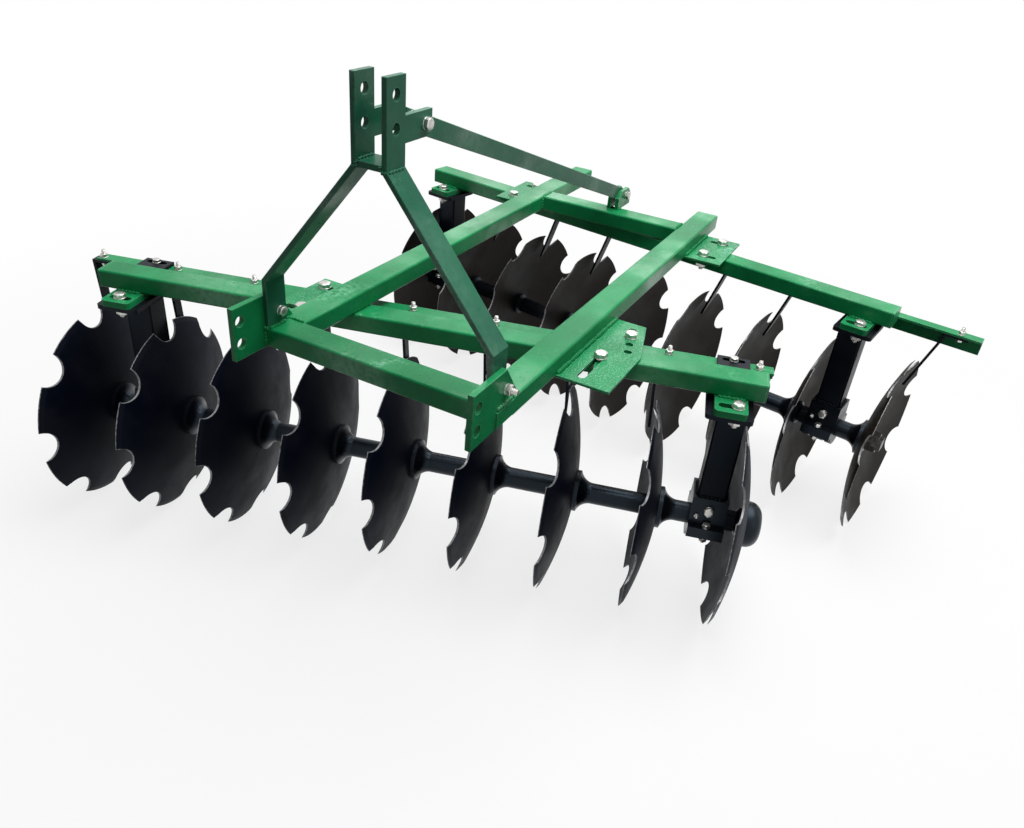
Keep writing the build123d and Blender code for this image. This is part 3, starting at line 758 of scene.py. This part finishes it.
@dataclass
class Fasteners:
    """Bolts gathered into one mesh: each is its profile turned about its axis."""

    shell: Shell
    sides: int = 24
    seed: int = 7
    most_turn: float = 1.05

    def add(self, kind: BoltKind, seats: np.ndarray, axis: np.ndarray, grip: float) -> None:
        """Set bolts of one kind.

        Args:
            kind: Which bolt.
            seats: Seats of the heads in the layout, one row each.
            axis: Direction out of the heads, one for all or one row each.
            grip: Thickness that they clamp.
        """
        self.revolve(kind.value.profile(grip), seats, axis)

    def revolve(self, rows: np.ndarray, seats: np.ndarray, axis: np.ndarray) -> None:
        """Turn a profile about each axis; a hexagon row's radius is the flat's over the cosine to its middle.

        Args:
            rows: Radius, height and share of hexagon, from the outer end to the inner one.
            seats: Points at height 0 in the layout, one row each.
            axis: Direction of rising height, one for all or one row each.
        """
        seats = np.atleast_2d(seats)
        axis = np.broadcast_to(np.atleast_2d(axis), seats.shape)
        draw = np.random.default_rng(self.seed + len(self.shell.faces))
        turn = draw.uniform(0.0, self.most_turn, len(seats))
        u, v = side_vectors(axis, turn)
        theta = np.arange(self.sides) * 2 * math.pi / self.sides
        hexagon = 1.0 / np.cos(theta % (math.pi / 3) - math.pi / 6)
        radius = rows[:, :1] * (1.0 + rows[:, 2:] * (hexagon[None] - 1.0))
        ring = ring_points(u, v, theta)
        lift = axis[:, None, None] * rows[None, :, 1, None, None]
        skin = seats[:, None, None] + lift + ring[:, None] * radius[None, :, :, None]
        poles = seats[:, None] + axis[:, None] * rows[[0, -1], 1][None, :, None]
        points = np.concatenate([skin.reshape(len(seats), -1, 3), poles], 1)
        self.shell.put(points, ring_faces(len(rows), self.sides))


@dataclass
class FrameBolts:
    """Bolts of the headstock, the brace and the four brackets."""

    bracket_top: float = 588.0
    bracket_grip: float = 14.0
    bracket_bolt: float = 58.0
    angle_slot_y: float = 299.0
    angle_slot_step: float = 12.1
    angle_slot_back: float = -42.0
    angle_hole_y: float = 335.0
    angle_hole_back: float = 68.0
    foot: tuple[float, float, float] = (530.0, 231.0, 648.0)
    foot_grip: float = 22.0
    brace_front: tuple[float, float, float] = (458.0, 34.0, 1024.0)
    brace_rear: tuple[float, float, float] = (-592.0, 16.0, 652.0)

    def build(self, zinc: bpy.types.Material) -> bpy.types.Object:
        """Gather and make the bolts.

        Args:
            zinc: Their finish.

        Returns:
            The piece.
        """
        bolts = Fasteners(Shell("frame_bolts"))
        for gang in GANGS:
            for hand in (-1, 1):
                along = np.full(2, gang.crossing(hand * BRACKET_Y))
                across = PAIR * self.bracket_bolt
                if gang is FRONT and hand > 0:
                    slot = gang.crossing(self.angle_slot_y) + self.angle_slot_step
                    along = np.array((slot, gang.crossing(self.angle_hole_y)))
                    across = np.array((self.angle_slot_back, self.angle_hole_back))
                bolts.add(BoltKind.BRACKET, gang.spot(along, across, self.bracket_top), UP, self.bracket_grip)
        sides = np.array(((1.0, -1.0, 1.0), (1.0, 1.0, 1.0)))
        inward = np.array(((0.0, 1.0, 0.0), (0.0, -1.0, 0.0)))
        bolts.add(BoltKind.FOOT, np.array(self.foot) * sides, inward, self.foot_grip)
        for seat in (self.brace_front, self.brace_rear):
            bolts.add(BoltKind.PIN, np.array(seat), np.array((0.0, 1.0, 0.0)), 2 * seat[1])
        return bolts.shell.make(zinc, "bare_steel")


@dataclass
class GangBolts:
    """Bolts of one gang's seats, bearing housings, bar holders and scrapers, and its grease nipples."""

    gang: GangLayout
    beam_bottom: float = 542.0
    seat_back: float = -62.0
    seat_grip: float = 24.0
    ear_back: float = 56.0
    ear_half: float = 13.0
    block_lift: float = 44.0
    block_face: float = 41.5
    nipple_along: float = 24.0
    nipple_lift: float = 30.0
    nipple_face: float = 43.7
    face_rise: float = 0.19
    face_run: float = 0.98
    holder_sheet: float = 8.0
    bar_wall: float = 5.0
    strip: float = 6.0
    bolt_inset: float = 14.0
    strip_step: float = 1.5
    lug_room: float = 40.0

    def build(self, zinc: bpy.types.Material) -> bpy.types.Object:
        """Gather and make the bolts.

        Args:
            zinc: Their finish.

        Returns:
            The piece.
        """
        g = self.gang
        bolts = Fasteners(Shell(f"{g.name}_gang_bolts"))
        seats = g.seats + np.array(g.seat_slides)
        bolts.add(BoltKind.SEAT, g.spot(seats, self.seat_back, self.beam_bottom), UP, self.seat_grip)
        posts, ears = (v.ravel() for v in np.meshgrid(g.standards, PAIR * self.ear_back))
        bolts.add(BoltKind.HOUSING, g.spot(posts, ears, g.axis_height + self.ear_half), UP, 2 * self.ear_half)
        slope = (self.face_rise * UP - self.face_run * g.back) / math.hypot(self.face_rise, self.face_run)
        blocks = g.spot(g.standards, -self.block_face, g.axis_height + self.block_lift)
        bolts.add(BoltKind.PIN, blocks, slope, 1.0)
        aside = g.standards - g.hand * self.nipple_along
        nipples = g.spot(aside, -self.nipple_face, g.axis_height + self.nipple_lift)
        bolts.revolve(np.array(GREASE_NIPPLE), nipples, slope)
        row = g.bar_front + self.bolt_inset
        holders = g.spot(g.seats, row, g.bar_top + self.holder_sheet)
        bolts.add(BoltKind.HOUSING, holders, UP, self.holder_sheet + self.bar_wall)
        strips = g.hubs + g.scraper_bolt
        near = np.abs(strips - g.crossing(-BRACKET_Y)) < self.lug_room
        low = g.bar_top - self.bar_wall - self.strip
        for kind, some in ((BoltKind.SCRAPER, strips[~near]), (BoltKind.SHORT_SCRAPER, strips[near])):
            if len(some):
                bolts.add(kind, g.spot(some, row - self.strip_step, low), -UP, self.bar_wall + self.strip)
        return bolts.shell.make(zinc, "bare_steel")


@dataclass
class WeldSeams:
    """Rippled weld beads: a small tube along each seam, swelling at every step of the weld.

    Sizes are in millimetres; a half is half the length of a seam.
    """

    rings: int = 40
    sides: int = 8
    longest: float = 60.0
    step: float = 8.5
    swell: float = 0.27
    skew: float = 0.12
    blunt: int = 10
    crease: float = 60.0
    tube_radius: float = 3.6
    thin_radius: float = 3.0
    bracket_radius: float = 5.0
    seat_radius: float = 3.4
    post_radius: float = 3.2
    face: float = 31.0
    bracket_half: float = 92.0
    angle_ends: tuple[float, float] = (-138.0, 157.0)
    bracket_lift: float = 589.5
    bracket_gap: float = 1.2
    seat_half: float = 28.0
    seat_heights: tuple[float, float] = (543.0, 541.0)
    lug_half: float = 22.0
    lug_height: float = 573.0
    post_half: float = 26.0
    post_foot: float = 71.0
    post_top: float = 517.0
    holder_half: float = 30.0
    holder_lift: float = 9.0

    def bead(self, shell: Shell, starts: np.ndarray, ends: np.ndarray, radius: float) -> None:
        """Lay beads: the radius follows a blunt lens from end to end, times one plus a cosine ripple.

        Args:
            shell: Where they are gathered.
            starts: Seam starts in the layout.
            ends: Seam ends.
            radius: Radius of the bead.
        """
        starts = np.atleast_2d(starts)
        ends = np.atleast_2d(ends)
        runs = np.maximum(1, np.ceil(np.linalg.norm(ends - starts, axis=1) / self.longest)).astype(int)
        which = np.repeat(np.arange(len(runs)), runs)
        number = np.arange(len(which)) - np.repeat(np.cumsum(runs) - runs, runs)
        span = (ends - starts)[which] / runs[which, None]
        first = starts[which] + span * number[:, None]
        size = np.linalg.norm(span, axis=1)
        axis = span / size[:, None]
        u, v = side_vectors(axis, np.zeros(len(axis)))
        t = (np.arange(self.rings) + 0.5) / self.rings
        theta = -np.arange(self.sides) * 2 * math.pi / self.sides
        lens = np.sqrt(1.0 - np.abs(2 * t - 1) ** self.blunt)
        phase = t[None, :, None] * (size / self.step)[:, None, None] + self.skew * np.cos(theta)[None, None]
        r = radius * lens[None, :, None] * (1.0 + self.swell * np.cos(2 * math.pi * phase))
        ring = ring_points(u, v, theta)
        line = first[:, None, None] + span[:, None, None] * t[None, :, None, None]
        skin = line + ring[:, None] * r[..., None]
        poles = first[:, None] + span[:, None] * np.array((0.0, 1.0))[None, :, None]
        points = np.concatenate([skin.reshape(len(first), -1, 3), poles], 1)
        shell.put(points, ring_faces(self.rings, self.sides))

    def level(self, shell: Shell, gang: GangLayout, middles: np.ndarray, half: float, back: float,
              height: float, radius: float) -> None:
        """Lay level beads along a gang's axis.

        Args:
            shell: Where they are gathered.
            gang: The gang.
            middles: Places of their middles along the axis.
            half: Half their length.
            back: Their place across the axis.
            height: Their height.
            radius: Radius of the bead.
        """
        starts = gang.spot(middles - half, back, height)
        self.bead(shell, starts, gang.spot(middles + half, back, height), radius)

    def mirrored(self, seams: Sequence[Sequence[float]]) -> tuple[np.ndarray, np.ndarray]:
        """Starts and ends of seams and of their mirror images across the middle.

        Args:
            seams: Rows of start and end, six numbers each.

        Returns:
            Starts and ends.
        """
        rows = np.array(seams, float)
        rows = np.concatenate([rows, rows * np.array((1, -1, 1, 1, -1, 1))])
        return rows[:, :3], rows[:, 3:]

    def frame_seams(self, shell: Shell) -> None:
        """Lay the seams of the beams, cross tubes, hitch plates and brace lugs.

        Args:
            shell: Where they are gathered.
        """
        i, top, low = BEAM_INNER, FRAME_TOP, FRAME_BOTTOM
        self.bead(shell, *self.mirrored([
            (-560, i, top, -512, i, top),
            (-506, i, low + 6, -506, i, top - 6),
            (-566, i, low + 6, -566, i, top - 6),
            (503, i + 4, top, 503, 228, top),
            (503, i, low + 6, 503, i, top - 6),
            (563, 241, low + 5, 563, 241, top - 5),
            (516, 230.5, top + 1, 561, 230.5, top + 1),
            (512.5, 232, top + 1, 512.5, 240, top + 1),
            (563.5, 232, top + 1, 563.5, 240, top + 1),
            (506, 253.5, top, 560, 253.5, top)]), self.tube_radius)
        self.bead(shell, *self.mirrored([(-562, 16.5, top + 1, -543, 16.5, top + 1)]), self.thin_radius)

    def mast_seams(self, shell: Shell) -> None:
        """Lay the seams of the headstock: its spacer and the bends of its bars.

        Args:
            shell: Where they are gathered.
        """
        self.bead(shell, *self.mirrored([
            (516, 23.5, 976.5, 560, 23.5, 976.5), (516, 23.5, 965.5, 560, 23.5, 965.5),
            (563.5, 23, 967, 563.5, 23, 975), (563.5, 25, 966, 563.5, 33, 966),
            (516, 34.5, 966, 560, 34.5, 966)]), self.thin_radius)

    def bracket_seams(self, shell: Shell) -> None:
        """Lay the long seams between the brackets and the beams.

        Args:
            shell: Where they are gathered.
        """
        plain = (-self.bracket_half, self.bracket_half)
        for gang in GANGS:
            for hand in (-1, 1):
                x = gang.spot(gang.crossing(hand * BRACKET_Y), 0.0, 0.0)[0]
                y = hand * (BEAM_OUTER + self.bracket_gap)
                ends = self.angle_ends if gang is FRONT and hand > 0 else plain
                rear, front = (np.array((x + end, y, self.bracket_lift)) for end in ends)
                self.bead(shell, rear, front, self.bracket_radius)

    def seat_seams(self, shell: Shell) -> None:
        """Lay the seams of the seats and lugs on the gang beams.

        Args:
            shell: Where they are gathered.
        """
        faces = (-self.face, self.face)
        for gang in GANGS:
            for back, height in zip(faces, self.seat_heights):
                self.level(shell, gang, gang.seats, self.seat_half, back, height, self.seat_radius)
            lugs = np.array([gang.crossing(BRACKET_Y), gang.crossing(-BRACKET_Y)])
            for back in faces:
                self.level(shell, gang, lugs, self.lug_half, back, self.lug_height, self.post_radius)

    def post_seams(self, shell: Shell) -> None:
        """Lay the seams at the top and bottom of the posts and of the bar holders.

        Args:
            shell: Where they are gathered.
        """
        faces = (-self.face, self.face)
        for gang in GANGS:
            posts = gang.standards
            for z in (gang.axis_height + self.post_foot, self.post_top):
                for back in faces:
                    self.level(shell, gang, posts, self.post_half, back, z, self.post_radius)
                for side in faces:
                    near, far = (gang.spot(posts + side, end, z) for end in (-self.post_half, self.post_half))
                    self.bead(shell, near, far, self.post_radius)
            z = gang.bar_top + self.holder_lift
            self.level(shell, gang, gang.seats, self.holder_half, self.face, z, self.thin_radius)

    def build(self, green: bpy.types.Material, dark: bpy.types.Material, black: bpy.types.Material) -> None:
        """Gather and make the green, the dark green (the headstock's darker copy, painted shade) and the
        black seams.

        Args:
            green: Finish of the frame.
            dark: Finish of the headstock, a darker copy of the frame green that paints shade.
            black: Finish of the standards.
        """
        frame_side = Shell("frame_welds")
        self.frame_seams(frame_side)
        self.bracket_seams(frame_side)
        self.seat_seams(frame_side)
        frame_side.make(green, "green_paint", crease=self.crease)
        # The headstock's welds take its darker copy of the green: painted shade.
        mast_side = Shell("mast_welds")
        self.mast_seams(mast_side)
        mast_side.make(dark, "green_paint", crease=self.crease)
        gang_side = Shell("standard_welds")
        self.post_seams(gang_side)
        gang_side.make(black, "black_paint", crease=self.crease)


@dataclass
class Studio:
    """Floor, lamps, world and camera."""

    floor_half: float = 30.0
    floor_points: int = 3
    eye: tuple[float, float, float] = (1.67751, 0.73856, 1.34922)
    heading: float = 115.59
    height: float = 32.16
    roll: float = 5.47
    focal_px: float = 834.34
    image_px: tuple[int, int] = (1024, 828)
    sensor: float = 36.0
    clip_end: float = 200.0
    sky_power: float = 0.095
    aim: tuple[float, float, float] = (0.0, 0.0, 0.4)
    lamps: tuple[tuple[str, tuple[float, float, float], float, float], ...] = (
        ("key", (-0.5, 0.5, 3.8), 3.2, 170.0),
        ("side", (1.2, 3.4, 2.2), 2.0, 8.0),
        ("rear", (-3.4, -1.4, 2.7), 2.2, 22.0),
    )

    def lay_floor(self) -> bpy.types.Object:
        """A square grid of points on the floor plane.

        Returns:
            The floor.
        """
        side = self.floor_points
        u = np.linspace(-self.floor_half, self.floor_half, side)
        x, y = np.meshgrid(u, u, indexing="ij")
        verts = np.stack([x, y, np.zeros_like(x)], -1).reshape(-1, 3)
        i, j = np.meshgrid(np.arange(side - 1), np.arange(side - 1), indexing="ij")
        first = (i * side + j).ravel()
        faces = np.stack([first, first + side, first + side + 1, first + 1], -1)
        mesh = bpy.data.meshes.new("floor")
        mesh.from_pydata(verts.tolist(), [], faces.tolist())
        mesh.materials.append(PaleFloor().make())
        floor = bpy.data.objects.new("floor", mesh)
        bpy.context.scene.collection.objects.link(floor)
        return floor

    def light(self) -> None:
        """A white sky for the lens and the reflections, a softer one for the light, and large lamps."""
        world = bpy.data.worlds.new("studio")
        bpy.context.scene.world = world
        world.use_nodes = True
        tree = world.node_tree
        sky = tree.nodes["Background"]
        path = tree.nodes.new("ShaderNodeLightPath")
        seen = tree.nodes.new("ShaderNodeMath")
        seen.operation = "MAXIMUM"
        tree.links.new(path.outputs["Is Camera Ray"], seen.inputs[0])
        tree.links.new(path.outputs["Is Glossy Ray"], seen.inputs[1])
        power = tree.nodes.new("ShaderNodeMapRange")
        power.inputs["To Min"].default_value = self.sky_power
        power.inputs["To Max"].default_value = 1.0
        tree.links.new(seen.outputs[0], power.inputs["Value"])
        tree.links.new(power.outputs["Result"], sky.inputs["Strength"])
        sky.inputs["Color"].default_value = (1.0, 1.0, 1.0, 1.0)
        for name, spot, size, watts in self.lamps:
            lamp = bpy.data.lights.new(name, "AREA")
            lamp.size = size
            lamp.energy = watts
            obj = bpy.data.objects.new(name, lamp)
            obj.location = spot
            obj.rotation_mode = "QUATERNION"
            obj.rotation_quaternion = (Vector(self.aim) - Vector(spot)).to_track_quat("-Z", "Y")
            bpy.context.scene.collection.objects.link(obj)

    def camera(self) -> bpy.types.Object:
        """The photograph's eye: back, right and up vectors from heading, height and roll.

        Returns:
            The camera.
        """
        a, e, p = (math.radians(v) for v in (self.heading, self.height, self.roll))
        back = Vector((math.sin(a) * math.cos(e), -math.cos(a) * math.cos(e), math.sin(e)))
        right = Vector((math.cos(a), math.sin(a), 0.0))
        up = back.cross(right)
        across = right * math.cos(p) + up * math.sin(p)
        upward = up * math.cos(p) - right * math.sin(p)
        data = bpy.data.cameras.new("camera")
        data.sensor_fit = "HORIZONTAL"
        data.sensor_width = self.sensor
        data.lens = self.focal_px / self.image_px[0] * self.sensor
        data.clip_end = self.clip_end
        eye = bpy.data.objects.new("camera", data)
        turn = Matrix((across, upward, back)).transposed()
        eye.matrix_world = Matrix.Translation(Vector(self.eye)) @ turn.to_4x4()
        bpy.context.scene.collection.objects.link(eye)
        bpy.context.scene.camera = eye
        return eye


class Finish(Enum):
    """Finishes of the harrow's nodes, by the record's material slot."""

    GREEN = "green_paint"
    BLACK = "black_paint"
    STEEL = "bare_steel"


@dataclass
class HarrowLooks:
    """Finishes of the CAD nodes: by slot, with own ones on headstock, brackets, discs, axles and castings.
    The headstock's is a darker copy of the frame green, painted shade; the brackets' has more pale specks,
    painted sheen; the front discs' is darker and bluer, painted shade.
    """

    green: bpy.types.Material
    # Darker copy of the frame green for the headstock: painted shade.
    dark: bpy.types.Material
    black: bpy.types.Material
    zinc: bpy.types.Material
    # Nodes that take the darker copy of the green: painted shade.
    painted_shade_nodes: tuple[str, ...] = ("left_mast_bar", "right_mast_bar", "mast_spacer", "brace_bar")
    castings: tuple[str, ...] = ("spools", "end_bell", "bearing_blocks", "bearing_caps")

    def dress(self) -> None:
        """Give each node its finish."""
        by_slot = {Finish.GREEN: self.green, Finish.BLACK: self.black, Finish.STEEL: self.zinc}
        oiled = OILED.make()
        cast = CAST_BLACK.make()
        # The brackets' green carries more pale specks on their tops: painted sheen.
        bracket = BRACKET_SHEEN_GREEN.make()
        own = {node: self.dark for node in self.painted_shade_nodes}
        own |= {f"{gang.name}_{side}_bracket": bracket for gang in GANGS for side in ("left", "right")}
        own |= {f"{discs.gang.name}_discs": discs.make() for discs in (SHADED_FRONT_DISCS, REAR_DUST_AND_LIGHT_DISCS)}
        own |= {f"{gang.name}_gang_shaft": oiled for gang in GANGS}
        own |= {f"{gang.name}_{piece}": cast for gang in GANGS for piece in self.castings}
        for part in frame["record"]["subparts"]:
            finish = own.get(part["node"], by_slot[Finish(part["material_slot"])])
            mesh = frame["nodes"][part["node"]].data
            mesh.materials.clear()
            mesh.materials.append(finish)
            LOG.info("%s takes %s", part["node"], finish.name)


def main() -> None:
    """Dress the harrow, set its bolts and welds, and build the studio."""
    logging.basicConfig(level=logging.INFO)
    bpy.context.scene.view_settings.view_transform = "Standard"
    # dark is the headstock's darker copy of the frame green: painted shade.
    green, dark, black, zinc = (finish.make() for finish in (FRAME_GREEN, SHADED_GREEN, POST_BLACK, ZINC))
    HarrowLooks(green, dark, black, zinc).dress()
    FrameBolts().build(zinc)
    for gang in GANGS:
        GangBolts(gang).build(zinc)
    WeldSeams().build(green, dark, black)
    studio = Studio()
    studio.lay_floor()
    studio.light()
    studio.camera()


if __name__ == "__main__":
    main()
